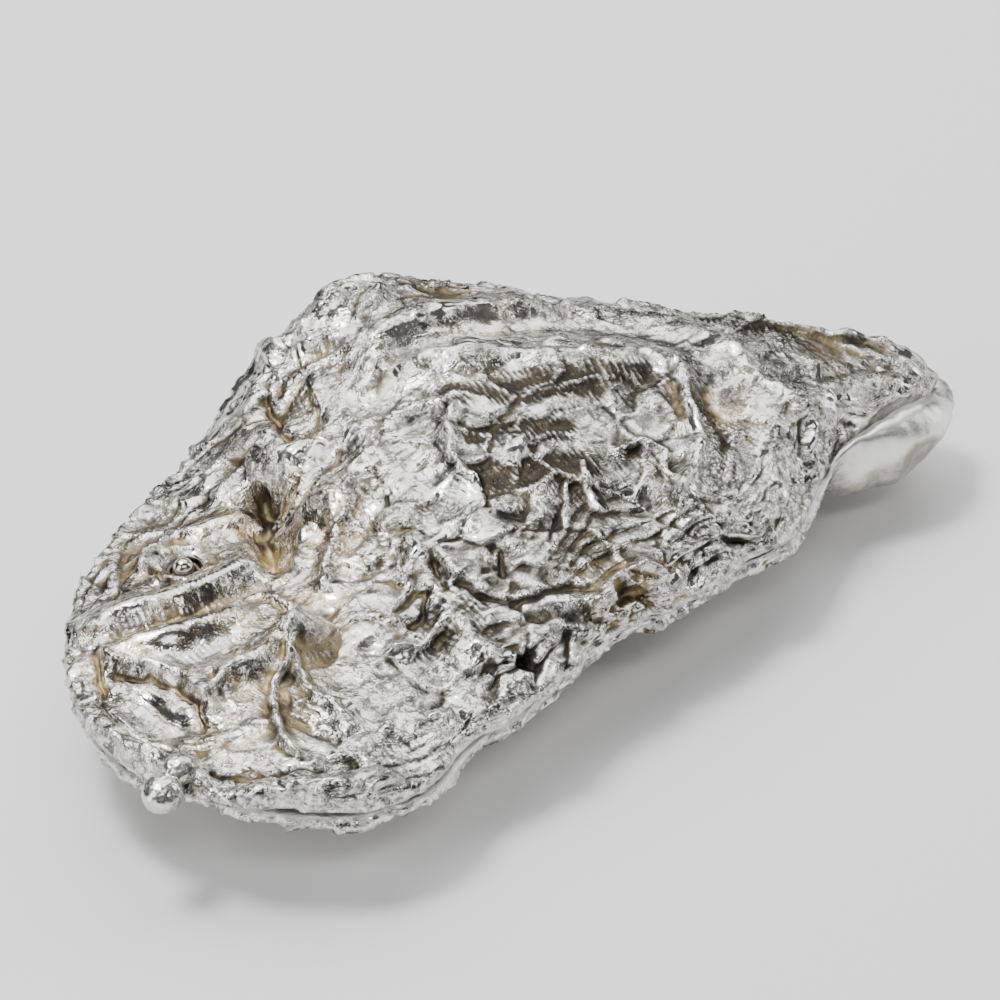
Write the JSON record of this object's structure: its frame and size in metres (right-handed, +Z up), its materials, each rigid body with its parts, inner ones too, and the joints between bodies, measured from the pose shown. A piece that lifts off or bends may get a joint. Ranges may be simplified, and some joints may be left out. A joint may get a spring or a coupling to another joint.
{
  "type": "oyster shell box",
  "caption": "Silvered oyster-shell box: a rough folded upper valve opens on a small beak hinge over a cupped lower valve, with a ball set in a pocket and a smooth knob.",
  "frame": {"origin": "middle of the bounding box at the height of the table", "axes": "+X along the shell from its broad end to the hinged beak, +Z up out of the lid, -Y is the side that slopes down towards the viewer"},
  "size_m": [0.1622, 0.1014, 0.0363],
  "materials": {
    "silver": "bright silver plate over a rough casting, dark and yellow-brown in the recesses",
    "bead": "smooth silvered metal, a little darker than the shell",
    "hinge_metal": "worn silver plate over brass"
  },
  "bodies": {
    "base": {"lower_valve": "silver", "lower_hinge_leaf": "hinge_metal", "hinge_pin": "hinge_metal", "lower_rivet_1": "hinge_metal", "lower_rivet_2": "hinge_metal"},
    "lid": {"upper_valve": "silver", "upper_hinge_leaf": "hinge_metal", "upper_rivet_1": "hinge_metal", "upper_rivet_2": "hinge_metal", "thumb_knob": "silver", "bead_collar": "bead", "pocket_bead": "bead"}
  },
  "joints": [
    {"name": "lid_hinge", "type": "hinge", "parent": "base", "child": "lid", "pos_m": [0.07571, -0.00822, 0.016], "axis": [0, 1, 0], "range_deg": [0, 50]}
  ]
}
